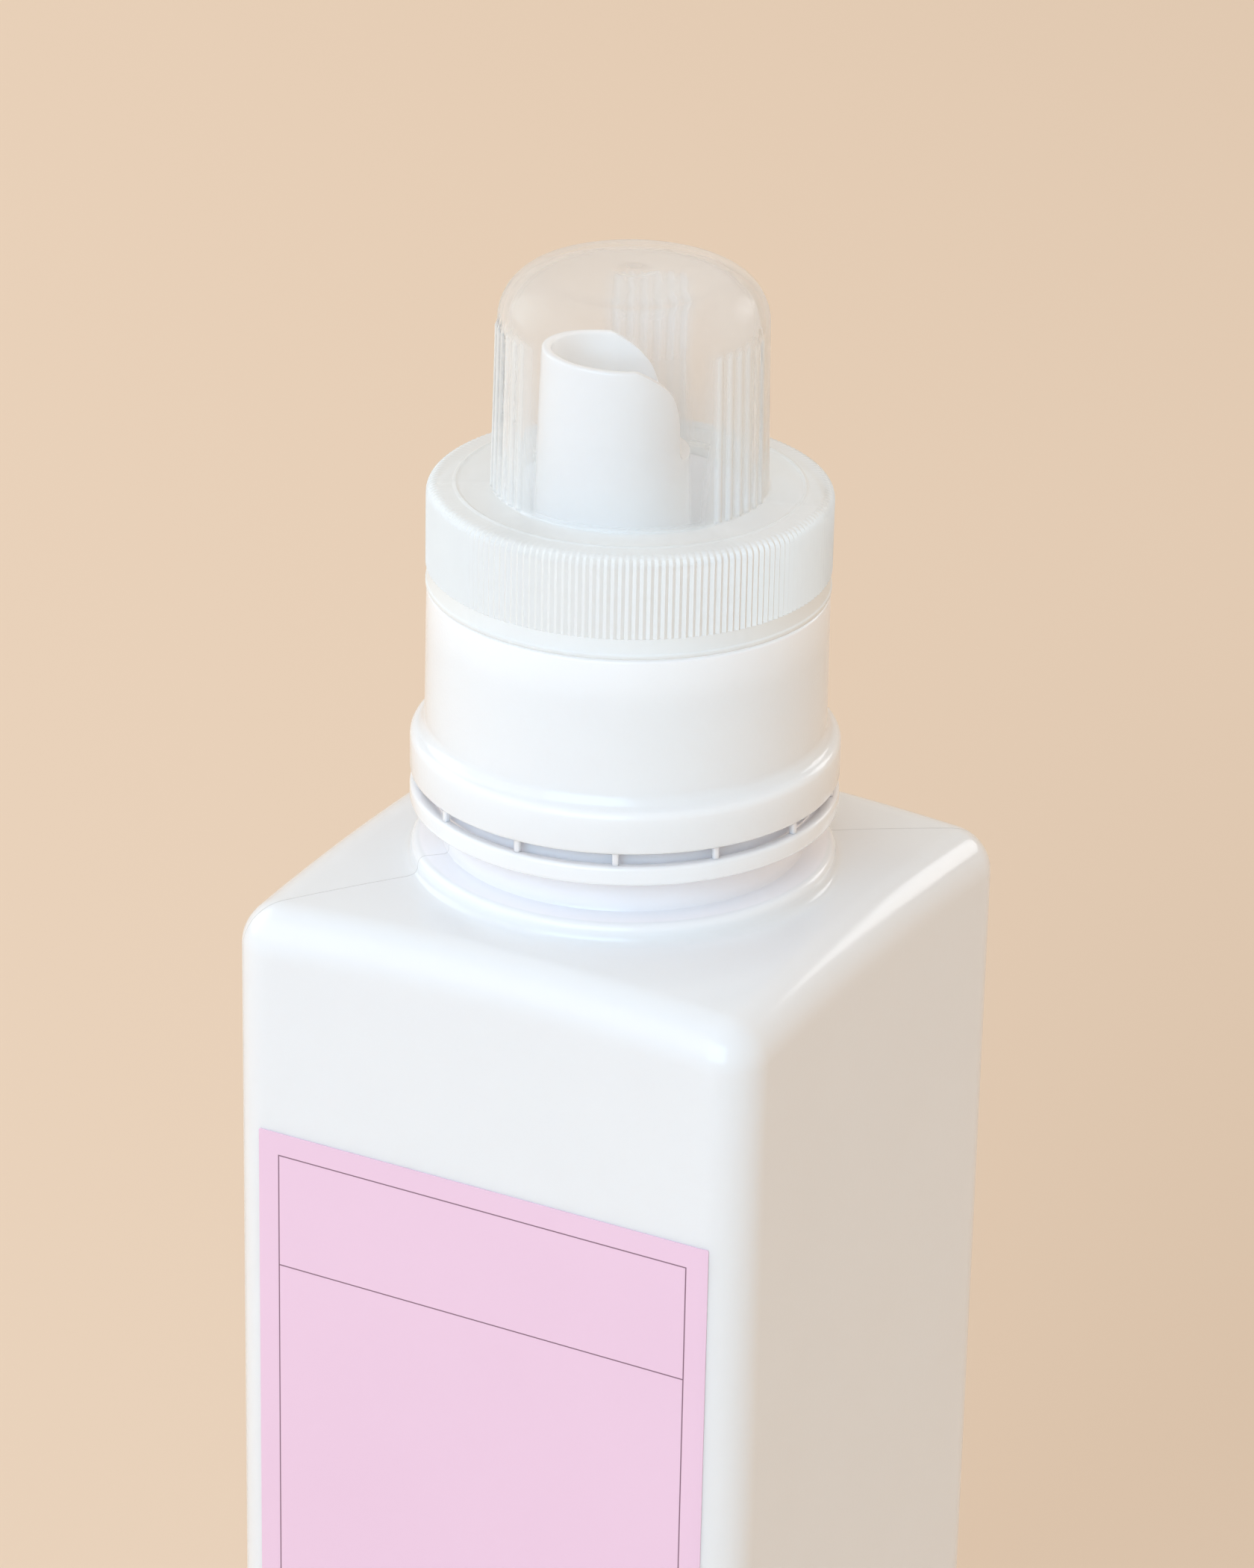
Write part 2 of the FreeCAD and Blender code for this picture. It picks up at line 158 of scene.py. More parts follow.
# Measuring cap
CAP_RADIUS = CAP_HIGH.x
CAP_WALL = 1.2
CAP_RIM = CAP_LOW.z
CAP_TOP = CAP_HIGH.z
SKIRT_HEIGHT = 11.85
CAP_SHOULDER = CAP_RIM + SKIRT_HEIGHT
RIM_BAND = 2.4
RIM_BEAD = 0.15
SKIRT_EDGE = 1.2
KNURL_COUNT = 180
KNURL_DEPTH = 0.3
SHOULDER_RING_RADIUS = 19.5
SHOULDER_RING = 0.2
DOME_FOOT_RADIUS = 15.4
DOME_TOP_RADIUS = 15.05
DOME_EDGE = 5.9
DOME_FOOT_FILLET = 0.35
GATE_RADIUS = 2.4
GATE_DEPTH = 0.4
RIB_GROUPS = 3
RIBS_PER_GROUP = 6
RIB_PITCH = 5.8
RIB_GROUP_ANGLE = -9.0
RIB_RADIUS = 0.5
RIB_STAND = 0.35
CAP_COLUMNS = 4 * KNURL_COUNT

# Label
LABEL_CORNER = 0.25
LABEL_BEND_STEPS = 6
LABEL_BEND_STEP = 0.25
FRAME_SIDE_GAP = 2.65
FRAME_TOP_GAP = 2.8
DIVIDER_DROP = 14.1
LINE_WIDTH = 0.15
FILM_SHARE = 0.9

# Photograph: the camera's place in millimetres, and its lens for a picture of 1680 by 2100
CAMERA_AZIMUTH = 27.92
CAMERA_ELEVATION = 24.06
CAMERA_ROLL = 1.184
CAMERA_DISTANCE = 668.6
TARGET_HEIGHT = 168.56
TARGET_SIDE = 0.28
LENS = 135.14
SENSOR = 36.0

# Light: each lamp's direction in degrees, distance and size in metres, watts and tint
LAMPS = [
    ("window_left", -38.0, 32.0, 1.7, 1.3, 3.6, (1.0, 0.87, 1.0)),
    ("window_front", 8.0, 26.0, 1.7, 1.3, 19.3, (0.46, 0.75, 1.0)),
    ("window_side", -88.0, 25.0, 1.7, 1.2, 8.6, (0.81, 0.98, 1.0)),
    ("card_behind", 160.0, 22.0, 1.7, 0.55, 2.5, (0.96, 0.98, 1.0)),
]

# Colours of the stage: the room and the backdrop at the left and the right, and the beige sheet
ROOM_TONES = ((0.63, 0.535, 0.45), (0.89, 0.79, 0.69))
BACKDROP_TONES = ((0.80, 0.65, 0.51), (0.71, 0.57, 0.43))
SHEET_TONES = ((0.815, 0.650, 0.505), (0.735, 0.585, 0.450))
# Painted shadow: the tone and share of the bottle's shadow painted on the sheet's near right part
SHEET_SHADOW_TONE = (0.62, 0.485, 0.365)
SHEET_SHADOW_SHARE = 0.55
SHEET_GLOW = 0.55
SHEET_REACH = 6000.0

# Colours of the plastics, from their darkest clouds to their palest
BLOWN_TONES = ((0.845, 0.865, 0.89), (0.87, 0.885, 0.905))
MOULDED_TONES = ((0.85, 0.87, 0.89), (0.875, 0.89, 0.905))
CLEAR_TONES = ((0.97, 0.97, 0.975), (0.985, 0.985, 0.99))
MILK_TONES = ((0.80, 0.82, 0.82), (0.83, 0.85, 0.845))
FILM_TONES = ((0.80, 0.56, 0.71), (0.825, 0.585, 0.735))
# Painted light: paler tones that lift the shade on the neck inside the closure, inside the flange and inside
# the spout's bore
NECK_PAINTED_LIGHT_TONE = (0.965, 0.95, 0.985)
CAVITY_PAINTED_LIGHT_TONE = (0.975, 0.965, 0.99)
BORE_PAINTED_LIGHT_TONE = (0.985, 0.975, 0.96)
PARTING_TONE = (0.52, 0.52, 0.54)
PRINT_TONE = (0.17, 0.08, 0.13)
OPEN_TONE = (0.96, 0.96, 0.96)

# Haze of the clear cap: the share of milk in the wall, and what is added to it in places
HAZE = 0.085
HAZE_CLOUDS = 0.04
HAZE_SKIRT = 0.42
HAZE_DOME_FOOT = 0.15
HAZE_RIB_GROUP = 0.17
HAZE_RIB = 0.14
HAZE_SIDE_ON = 0.34


# Helpers for shapes

def smooth_step(value, start, end):
    """0 before start, 1 after end, and a smooth change between them."""
    share = min(max((value - start) / (end - start), 0.0), 1.0)
    return share * share * (3 - 2 * share)


def polar(vertex):
    """Distance of a vertex from the Z axis, and its angle about it in degrees."""
    return math.hypot(vertex.co.x, vertex.co.y), math.degrees(math.atan2(vertex.co.y, vertex.co.x))


def rise_of(edge):
    """How much higher one end of an edge is than the other."""
    return abs(edge.verts[0].co.z - edge.verts[1].co.z)


def place(vertex, radius, angle):
    """Puts a vertex at a distance from the Z axis and an angle about it, at its own height."""
    vertex.co.x = radius * math.cos(math.radians(angle))
    vertex.co.y = radius * math.sin(math.radians(angle))


def profile(corners, closed):
    """A wire in the XZ plane, given as (radius, height, rounding) for each of its corners."""
    bm = bmesh.new()
    verts = [bm.verts.new((radius, 0, height)) for radius, height, rounding in corners]
    for start, end in zip(verts, verts[1:]):
        bm.edges.new((start, end))
    if closed:
        bm.edges.new((verts[-1], verts[0]))
    for vert, (radius, height, rounding) in zip(verts, corners):
        if rounding > 0:
            steps = 2 if rounding < 0.25 else 4 if rounding < 1.0 else 7 if rounding < 3.0 else 11
            bmesh.ops.bevel(bm, geom=[vert], offset=rounding, segments=steps, profile=0.5,
                            affect="VERTICES", material=-1)
    return bm


def turn(bm, columns):
    """Turns a wire once about the Z axis into a closed skin that faces outwards, in sixteen equal parts."""
    sector = FULL_TURN / 16
    bmesh.ops.spin(bm, geom=bm.verts[:] + bm.edges[:], cent=(0, 0, 0), axis=(0, 0, 1),
                   angle=sector, steps=columns // 16, use_merge=False, use_duplicate=False)
    for doubling in range(4):
        copies = bmesh.ops.duplicate(bm, geom=bm.verts[:] + bm.edges[:] + bm.faces[:])["geom"]
        verts = [item for item in copies if isinstance(item, bmesh.types.BMVert)]
        bmesh.ops.rotate(bm, verts=verts, cent=(0, 0, 0),
                         matrix=Matrix.Rotation(sector * 2 ** doubling, 3, "Z"))
    bmesh.ops.remove_doubles(bm, verts=bm.verts[:], dist=1e-4)
    bmesh.ops.recalc_face_normals(bm, faces=bm.faces[:])
    return bm


def joined(bms):
    """One mesh holding several, which are freed."""
    whole = bmesh.new()
    for bm in bms:
        part = bpy.data.meshes.new("part")
        bm.to_mesh(part)
        bm.free()
        whole.from_mesh(part)
        bpy.data.meshes.remove(part)
    return whole


def cut(bm, cutter):
    """What is left of a closed mesh after another is taken away from it. Both are freed."""
    objects = []
    for name, shape in (("kept", bm), ("cutter", cutter)):
        mesh = bpy.data.meshes.new(name)
        shape.to_mesh(mesh)
        shape.free()
        scratch = bpy.data.objects.new(name, mesh)
        bpy.context.scene.collection.objects.link(scratch)
        objects.append(scratch)
    kept, taken = objects
    boolean = kept.modifiers.new("cut", "BOOLEAN")
    boolean.operation = "DIFFERENCE"
    boolean.solver = "EXACT"
    boolean.object = taken
    bpy.context.view_layer.update()
    evaluated = kept.evaluated_get(bpy.context.evaluated_depsgraph_get())
    result = bmesh.new()
    result.from_mesh(evaluated.to_mesh())
    evaluated.to_mesh_clear()
    for scratch in objects:
        mesh = scratch.data
        bpy.data.objects.remove(scratch)
        bpy.data.meshes.remove(mesh)
    return result


def finish_piece(name, bm, body, material, node, crease=32.0):
    """Makes a mesh a piece of the bottle, in metres, smooth except at its sharp edges."""
    bmesh.ops.scale(bm, vec=(MM, MM, MM), verts=bm.verts[:])
    for face in bm.faces:
        face.smooth = True
    for edge in bm.edges:
        edge.smooth = len(edge.link_faces) == 2 and edge.calc_face_angle(0.0) < math.radians(crease)
    mesh = bpy.data.meshes.new(name)
    bm.to_mesh(mesh)
    bm.free()
    mesh.materials.append(material)
    piece = bpy.data.objects.new(name, mesh)
    bpy.context.scene.collection.objects.link(piece)
    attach(piece, body)
    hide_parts(node)
    return piece


# Helpers for materials

class Amount:
    """A number that changes over a surface. Sums and products of amounts add Math nodes."""

    def __init__(self, recipe, socket):
        self.recipe = recipe
        self.socket = socket

    def maths(self, operation, first, second=0.0):
        """One Math node."""
        return self.recipe.node("Math", {"operation": operation}, {0: first, 1: second})

    def __add__(self, other):
        return self.maths("ADD", self, other)

    def __sub__(self, other):
        return self.maths("SUBTRACT", self, other)

    def __mul__(self, other):
        return self.maths("MULTIPLY", self, other)

    def __truediv__(self, other):
        return self.maths("DIVIDE", self, other)

    def __pow__(self, other):
        return self.maths("POWER", self, other)

    def __rsub__(self, other):
        return self.maths("SUBTRACT", other, self)

    __radd__ = __add__
    __rmul__ = __mul__

    def size(self):
        """Its value without its sign."""
        return self.maths("ABSOLUTE", self)

    def most(self, other):
        """The greater of two."""
        return self.maths("MAXIMUM", self, other)

    def rise(self, start, end):
        """0 before start and 1 after end, with a smooth change between them. End may be the lower one."""
        low, high = min(start, end), max(start, end)
        settings = {"interpolation_type": "SMOOTHSTEP"}
        step = self.recipe.node("MapRange", settings, {"Value": self, "From Min": low, "From Max": high})
        return step if start < end else 1 - step


class Recipe:
    """A material made from nodes."""

    def __init__(self, tree):
        self.tree = tree
        tree.nodes.clear()
        self.made = {}

    def node(self, kind, settings=None, values=None, output=0):
        """Adds a node, sets its settings, then links or sets its sockets, and gives one of its outputs."""
        made = self.tree.nodes.new("ShaderNode" + kind)
        for key, value in (settings or {}).items():
            setattr(made, key, value)
        for key, value in (values or {}).items():
            socket = made.inputs[key]
            if isinstance(value, Amount):
                self.tree.links.new(value.socket, socket)
            else:
                socket.default_value = value
        return Amount(self, made.outputs[output])

    def place(self):
        """X, Y and Z on the piece, in millimetres."""
        if "place" not in self.made:
            point = self.node("TexCoord", output="Object")
            self.made["point"] = point
            self.made["place"] = [
                self.node("SeparateXYZ", None, {0: point}, output=axis) * (1 / MM) for axis in "XYZ"
            ]
        return self.made["place"]

    def point(self):
        """The place on the piece as a vector, in metres."""
        self.place()
        return self.made["point"]

    def noise(self, grain, detail=2.0, roughness=0.5, distortion=0.0):
        """Cloudy noise whose lumps are about grain millimetres across."""
        values = {"Vector": self.point(), "Scale": 1 / (grain * MM), "Detail": detail,
                  "Roughness": roughness, "Distortion": distortion}
        return self.node("TexNoise", None, values, output="Fac")

    def between(self, share, first, second):
        """A colour between two others, each an amount or its red, green and blue."""
        ends = [end if isinstance(end, Amount) else colour(*end) for end in (first, second)]
        return self.node("Mix", {"data_type": "RGBA"}, {"Factor": share, 6: ends[0], 7: ends[1]}, output=2)

    def bump(self, height, depth):
        """A normal that follows a height between 0 and 1, depth millimetres deep."""
        return self.node("Bump", None, {"Strength": 1.0, "Distance": depth * MM, "Height": height})

    def ray(self, kind):
        """1 on light paths of one kind, such as camera, shadow, glossy or diffuse."""
        return self.node("LightPath", output="Is " + kind + " Ray")

    def output(self, shader, kind="OutputMaterial"):
        """Ends the recipe with its shader."""
        made = self.tree.nodes.new("ShaderNode" + kind)
        self.tree.links.new(shader.socket, made.inputs["Surface"])


def colour(red, green, blue):
    """A solid colour as a socket holds it."""
    return (red, green, blue, 1.0)


def new_recipe(name):
    """A new material and the recipe of its nodes."""
    material = bpy.data.materials.new(name)
    material.use_nodes = True
    return material, Recipe(material.node_tree)


def blown_white():
    """Glossy blown polyethylene: soft waves, fine orange peel, a diagonal parting line, and painted light
    that lifts the shade on the neck.
    """
    material, recipe = new_recipe("blown_white")
    x, y, z = recipe.place()
    clouds = recipe.noise(26.0, 2.0)
    peel = recipe.noise(0.55, 1.5)
    waves = recipe.noise(17.0, 0.5)
    parting = ((x - y).size() * math.sqrt(0.5)).rise(0.14, 0.03)
    tone = recipe.between(clouds, *BLOWN_TONES)
    # Painted light: the neck inside the closure is made paler and lavender to lift its shade, as if light
    # passed through the plastic
    neck = (x * x + y * y).rise((NECK_RING_RADIUS - 0.6) ** 2, (NECK_RING_RADIUS - 1.2) ** 2)
    neck = neck * z.rise(NECK_RING_TOP - 0.6, NECK_RING_TOP)
    tone = recipe.between(neck, tone, NECK_PAINTED_LIGHT_TONE)
    tone = recipe.between(parting * 0.30, tone, PARTING_TONE)
    height = waves + peel * 0.03 + parting * 0.25
    shader = recipe.node("BsdfPrincipled", None, {
        "Base Color": tone,
        "Roughness": 0.11 + clouds * 0.08,
        "Normal": recipe.bump(height, 0.16),
        "IOR": 1.5,
        "Subsurface Weight": 0.4,
        "Subsurface Radius": (1.0, 0.95, 0.95),
        "Subsurface Scale": 0.003,
    })
    recipe.output(shader)
    return material


def moulded_white():
    """Glossy injection-moulded polypropylene, with painted light that lifts the shade inside the flange and
    inside the spout.
    """
    material, recipe = new_recipe("moulded_white")
    x, y, z = recipe.place()
    clouds = recipe.noise(12.0, 2.0)
    grain = recipe.noise(0.4, 1.0)
    tone = recipe.between(clouds, *MOULDED_TONES)
    # Painted light: the inside of the flange and band is made paler to lift the shade in the gap under the
    # flange
    cavity = (x * x + y * y).rise((FLANGE_RADIUS - 0.15) ** 2, (FLANGE_RADIUS - 0.6) ** 2)
    cavity = cavity * z.rise(FLANGE_TOP - 0.7, FLANGE_TOP - 1.2)
    tone = recipe.between(cavity, tone, CAVITY_PAINTED_LIGHT_TONE)
    # Painted light: the inside of the spout's bore is made paler to lift its shade
    side = math.radians(LIP_ANGLE)
    across, along = x - SPOUT_OFFSET * math.cos(side), y - SPOUT_OFFSET * math.sin(side)
    middle = SPOUT_MOUTH_RADIUS - SPOUT_WALL / 2
    bore = (across * across + along * along).rise((middle + 0.15) ** 2, (middle - 0.15) ** 2)
    bore = bore * z.rise(SPOUT_FOOT + 8.0, SPOUT_FOOT + 16.0)
    tone = recipe.between(bore, tone, BORE_PAINTED_LIGHT_TONE)
    shader = recipe.node("BsdfPrincipled", None, {
        "Base Color": tone,
        "Roughness": 0.10 + clouds * 0.08,
        "Normal": recipe.bump(grain * 0.2 + recipe.noise(6.0, 1.0), 0.05),
        "IOR": 1.5,
        "Subsurface Weight": 0.5,
        "Subsurface Radius": (1.0, 0.95, 0.95),
        "Subsurface Scale": 0.003,
    })
    recipe.output(shader)
    return material


def clear_haze():
    """Clear polypropylene that bends what is seen through it, with a milky haze, densest in the skirt."""
    material, recipe = new_recipe("clear_haze")
    x, y, z = recipe.place()
    clouds = recipe.noise(7.0, 2.0)
    flow = recipe.noise(3.2, 1.0)
    skirt = z.rise(CAP_SHOULDER + 0.35, CAP_SHOULDER - 0.5)
    clear = recipe.node("BsdfPrincipled", None, {
        "Base Color": recipe.between(clouds, *CLEAR_TONES),
        "Roughness": 0.07 + clouds * 0.05,
        "Normal": recipe.bump(flow, 0.03),
        "IOR": 1.09,
        "Transmission Weight": 1.0,
    })
    milk = recipe.node("BsdfPrincipled", None, {
        "Base Color": recipe.between(clouds, *MILK_TONES),
        "Roughness": 0.30 + skirt * 0.25,
        "IOR": 1.49,
    })
    side_on = recipe.node("LayerWeight", None, {"Blend": 0.5}, output="Facing")
    reach = (x * x + y * y) ** 0.5
    rib_top = CAP_TOP - DOME_EDGE
    lean = (DOME_FOOT_RADIUS - DOME_TOP_RADIUS) / (rib_top - CAP_SHOULDER)
    rib = (reach + (z - CAP_SHOULDER) * lean).rise(DOME_FOOT_RADIUS + 0.05, DOME_FOOT_RADIUS + 0.30)
    rib = rib * z.rise(CAP_SHOULDER + 0.3, CAP_SHOULDER + 0.6)
    middle = math.radians(RIB_GROUP_ANGLE)
    toward = (x * math.cos(middle) + y * math.sin(middle)) / reach
    three_groups = toward ** 3.0 * 4.0 - toward * 3.0
    group = three_groups.rise(0.40, 0.75)
    group = group * z.rise(rib_top + 0.8, rib_top - 0.6)
    dome_foot = z.rise(CAP_SHOULDER + 11.0, CAP_SHOULDER + 1.0)
    haze = (HAZE + clouds * HAZE_CLOUDS + skirt * HAZE_SKIRT + dome_foot * HAZE_DOME_FOOT
            + group * HAZE_RIB_GROUP + rib * HAZE_RIB + side_on ** 2.0 * HAZE_SIDE_ON)
    wall = recipe.node("MixShader", None, {"Fac": haze, 1: clear, 2: milk})
    open_wall = recipe.node("BsdfTransparent", None, {"Color": colour(*OPEN_TONE)})
    lights_way = recipe.ray("Shadow").most(recipe.ray("Diffuse"))
    recipe.output(recipe.node("MixShader", None, {"Fac": lights_way, 1: wall, 2: open_wall}))
    return material


def label_film(left, right, foot, top):
    """Satin pink film printed with a fine dark frame and one line across it."""
    material, recipe = new_recipe("label_film")
    x, y, z = recipe.place()
    half = LINE_WIDTH / 2
    soft = 0.05

    def stripe(distance):
        return distance.size().rise(half + soft, half - soft)

    def span(value, low, high):
        begun = value.rise(low - half - soft, low - half + soft)
        return begun * value.rise(high + half + soft, high + half - soft)

    across = span(x, left, right)
    along = span(z, foot, top)
    upright = (stripe(x - left).most(stripe(x - right))) * along
    level = stripe(z - top).most(stripe(z - foot)).most(stripe(z - (top - DIVIDER_DROP))) * across
    print_lines = upright.most(level)
    fibre = recipe.noise(0.5, 2.0)
    clouds = recipe.noise(20.0, 1.0)
    film = recipe.between(clouds, *FILM_TONES)
    tone = recipe.between(print_lines * 0.95, film, PRINT_TONE)
    shader = recipe.node("BsdfPrincipled", None, {
        "Base Color": tone,
        "Roughness": 0.46 + fibre * 0.08,
        "Normal": recipe.bump(fibre, 0.01),
        "IOR": 1.48,
    })
    recipe.output(shader)
    return material


# Bottle

def body_box():
    """The rounded square body, closed, with strips enough for its faces to stay even."""
    bm = bmesh.new()
    height = SHOULDER_FLAT
    bmesh.ops.create_cube(bm, size=1.0)
    bmesh.ops.scale(bm, vec=(BODY_WIDTH, BODY_WIDTH, height), verts=bm.verts[:])
    bmesh.ops.translate(bm, vec=(0, 0, height / 2), verts=bm.verts[:])
    upright = [edge for edge in bm.edges if rise_of(edge) > 1.0]
    bmesh.ops.bevel(bm, geom=upright, offset=BODY_CORNER, segments=CORNER_STRIPS, profile=0.5,
                    affect="EDGES", material=-1)
    straight = [edge for edge in bm.edges if rise_of(edge) < 1.0 and edge.calc_length() > 5 * BODY_CORNER]
    bmesh.ops.subdivide_edges(bm, edges=straight, cuts=BODY_STRIPS, use_grid_fill=True)
    return bm


def level_outline(bm, height):
    """The edges of a mesh that lie at one height."""
    return [edge for edge in bm.edges if all(abs(vert.co.z - height) < 1e-3 for vert in edge.verts)]


def level_face(bm, height):
    """The flat face with the most corners at one height."""
    faces = [face for face in bm.faces if all(abs(vert.co.z - height) < 1e-3 for vert in face.verts)]
    return max(faces, key=lambda face: len(face.verts))


def crown_height(radius):
    """Height of the shoulder, which is a shallow dome, at a distance from the axis."""
    return NECK_FOOT - (radius ** 2 - NECK_RING_RADIUS ** 2) / (2 * CROWN_RADIUS)


def bottle_skin():
    """The outside of the bottle, from its raised base panel to the lip of its neck."""
    bm = body_box()
    bmesh.ops.bevel(bm, geom=level_outline(bm, SHOULDER_FLAT), offset=SHOULDER_EDGE,
                    segments=SHOULDER_STRIPS, profile=0.5, affect="EDGES", material=-1)
    bmesh.ops.bevel(bm, geom=level_outline(bm, 0.0), offset=BASE_EDGE,
                    segments=BASE_STRIPS, profile=0.5, affect="EDGES", material=-1)
    hollow_base(bm)
    neck_edges = crowned_shoulder(bm)
    draw_neck(bm, neck_edges)
    for reach in (BODY_HALF - BODY_CORNER - 0.5, -(BODY_HALF - BODY_CORNER - 0.5)):
        for axis in (Vector((1, 0, 0)), Vector((0, 1, 0))):
            bisect(bm, axis * reach, axis)
    for height in (BASE_EDGE + 0.5, SHOULDER_FLAT - SHOULDER_EDGE - 1.0, SHOULDER_FLAT - SHOULDER_EDGE - 12,
                   SHOULDER_FLAT / 2):
        bisect(bm, Vector((0, 0, height)), Vector((0, 0, 1)))
    bmesh.ops.recalc_face_normals(bm, faces=bm.faces[:])
    return bm


def hollow_base(bm):
    """Leaves a standing rim round the base and raises the panel inside it."""
    base = level_face(bm, 0.0)
    steps = ((BASE_RIM_WIDTH - BASE_EDGE, 0.0), (BASE_HOLLOW_EDGE, BASE_HOLLOW), (BASE_PANEL_EDGE, 0.0))
    for inset, rise in steps:
        half = max(vert.co.x for vert in base.verts)
        first_inset = 0.02
        bmesh.ops.inset_individual(bm, faces=[base], thickness=first_inset)
        share = (half - inset) / (half - first_inset)
        bmesh.ops.scale(bm, vec=(share, share, 1.0), verts=base.verts[:])
        bmesh.ops.translate(bm, vec=(0, 0, rise), verts=base.verts[:])


def crowned_shoulder(bm):
    """Domes the flat top and opens it for the neck, and gives the edges of the opening."""
    top = level_face(bm, SHOULDER_FLAT)
    rim = top.edges[:]
    bmesh.ops.delete(bm, geom=[top], context="FACES_ONLY")
    ring = bmesh.ops.create_circle(bm, cap_ends=False, segments=len(rim),
                                   radius=NECK_RING_RADIUS + NECK_RING_FILLET)["verts"]
    bmesh.ops.rotate(bm, verts=ring, cent=(0, 0, 0), matrix=Matrix.Rotation(math.pi / len(rim), 3, "Z"))
    bmesh.ops.translate(bm, verts=ring, vec=(0, 0, NECK_FOOT))
    ring_edges = [edge for edge in bm.edges if edge.verts[0] in ring and edge.verts[1] in ring]
    spokes_before = set(bm.edges)
    bmesh.ops.bridge_loops(bm, edges=rim + ring_edges)
    spokes = [edge for edge in bm.edges if edge not in spokes_before]
    bmesh.ops.subdivide_edges(bm, edges=spokes, cuts=CROWN_STRIPS, use_grid_fill=True)
    blend_foot = SHOULDER_FLAT - SHOULDER_BLEND
    for vert in bm.verts:
        radius, angle = polar(vert)
        if vert.co.z > blend_foot and radius > NECK_RING_RADIUS - 0.01:
            share = smooth_step(vert.co.z, blend_foot, SHOULDER_FLAT - SHOULDER_EDGE)
            if vert.co.z > SHOULDER_FLAT - 1e-3:
                vert.co.z = crown_height(radius)
            else:
                vert.co.z += share * (crown_height(radius) - SHOULDER_FLAT)
    return ring_edges


def draw_neck(bm, loop):
    """Draws the neck up from a loop of edges: fillet, ring with a rounded top, wall, bead and lip."""
    neck = [
        (NECK_RING_RADIUS + 0.62, NECK_FOOT + 0.05),
        (NECK_RING_RADIUS + 0.24, NECK_FOOT + 0.32),
        (NECK_RING_RADIUS + 0.05, NECK_FOOT + 0.75),
        (NECK_RING_RADIUS, NECK_FOOT + NECK_RING_FILLET),
        (NECK_RING_RADIUS, NECK_RING_TOP - NECK_RING_EDGE),
        (NECK_RING_RADIUS - 0.08, NECK_RING_TOP - 0.52),
        (NECK_RING_RADIUS - 0.24, NECK_RING_TOP - 0.24),
        (NECK_RING_RADIUS - 0.52, NECK_RING_TOP - 0.07),
        (NECK_RING_RADIUS - NECK_RING_EDGE, NECK_RING_TOP),
        (NECK_RADIUS + 0.5, NECK_RING_TOP),
        (NECK_RADIUS + 0.15, NECK_RING_TOP + 0.15),
        (NECK_RADIUS, NECK_RING_TOP + 0.5),
        (NECK_RADIUS, BEAD_FOOT),
        (BEAD_RADIUS, BEAD_FOOT + 0.1),
        (BEAD_RADIUS, BEAD_FOOT + 1.3),
        (NECK_RADIUS, BEAD_FOOT + 2.2),
        (NECK_RADIUS, NECK_LIP - 0.3),
        (NECK_RADIUS - 0.3, NECK_LIP),
    ]
    for radius, height in neck:
        grown = bmesh.ops.extrude_edge_only(bm, edges=loop)["geom"]
        verts = [item for item in grown if isinstance(item, bmesh.types.BMVert)]
        for vert in verts:
            now, angle = polar(vert)
            place(vert, radius, angle)
            vert.co.z = height
        loop = [item for item in grown if isinstance(item, bmesh.types.BMEdge)
                and all(vert in verts for vert in item.verts)]


def bisect(bm, point, normal):
    """Adds a line of edges where a plane crosses a mesh."""
    geometry = bm.verts[:] + bm.edges[:] + bm.faces[:]
    bmesh.ops.bisect_plane(bm, geom=geometry, dist=1e-4, plane_co=point, plane_no=normal)


def make_bottle(material):
    """The bottle, with an even wall inside its skin."""
    piece = finish_piece("blown_bottle", bottle_skin(), "bottle_body", material, "bottle")
    wall = piece.modifiers.new("wall", "SOLIDIFY")
    wall.thickness = BOTTLE_WALL * MM
    wall.offset = -1.0
    return piece


# Closure

def closure_wall():
    """Collar, flange, seat, threaded carrier and plug, turned as one wall."""
    inside = COLLAR_RADIUS - CLOSURE_WALL
    flange_inside = FLANGE_RADIUS - CLOSURE_WALL
    carrier_inside = CARRIER_RADIUS - CARRIER_WALL
    plug_inside = PLUG_RADIUS - PLUG_WALL
    corners = [
        (FLANGE_RADIUS, FLANGE_FOOT, 0.45),
        (FLANGE_RADIUS, FLANGE_TOP, 0.7),
        (COLLAR_RADIUS + 0.75, FLANGE_TOP + 0.35, 0.4),
        (COLLAR_RADIUS + 0.12, COLLAR_FOOT + 0.5, 0.4),
        (COLLAR_RADIUS, SEAT, 0.25),
        (CARRIER_RADIUS, SEAT, 0.15),
    ]
    corners += [(CARRIER_RADIUS, SEAT + (CARRIER_TOP - SEAT) * row / CARRIER_ROWS, 0)
                for row in range(1, CARRIER_ROWS)]
    corners += [
        (CARRIER_RADIUS, CARRIER_TOP, 0.2),
        (carrier_inside, CARRIER_TOP, 0.2),
        (carrier_inside, NECK_LIP + 1.6, 0.3),
        (plug_inside, NECK_LIP + 0.6, 0.3),
        (plug_inside, PLUG_FOOT, 0.2),
        (PLUG_RADIUS, PLUG_FOOT, 0.2),
        (PLUG_RADIUS, NECK_LIP + 0.1, 0),
        (inside, NECK_LIP + 0.1, 0),
        (inside, COLLAR_FOOT, 0),
        (flange_inside, FLANGE_TOP - CLOSURE_WALL, 0),
        (flange_inside, FLANGE_FOOT, 0.2),
    ]
    bm = turn(profile(corners, True), CLOSURE_COLUMNS)
    for vert in bm.verts:
        radius, angle = polar(vert)
        if radius > CARRIER_RADIUS - 0.05 and SEAT + 0.3 < vert.co.z < CARRIER_TOP - 0.15:
            place(vert, radius + thread(angle, vert.co.z), angle)
    return bm


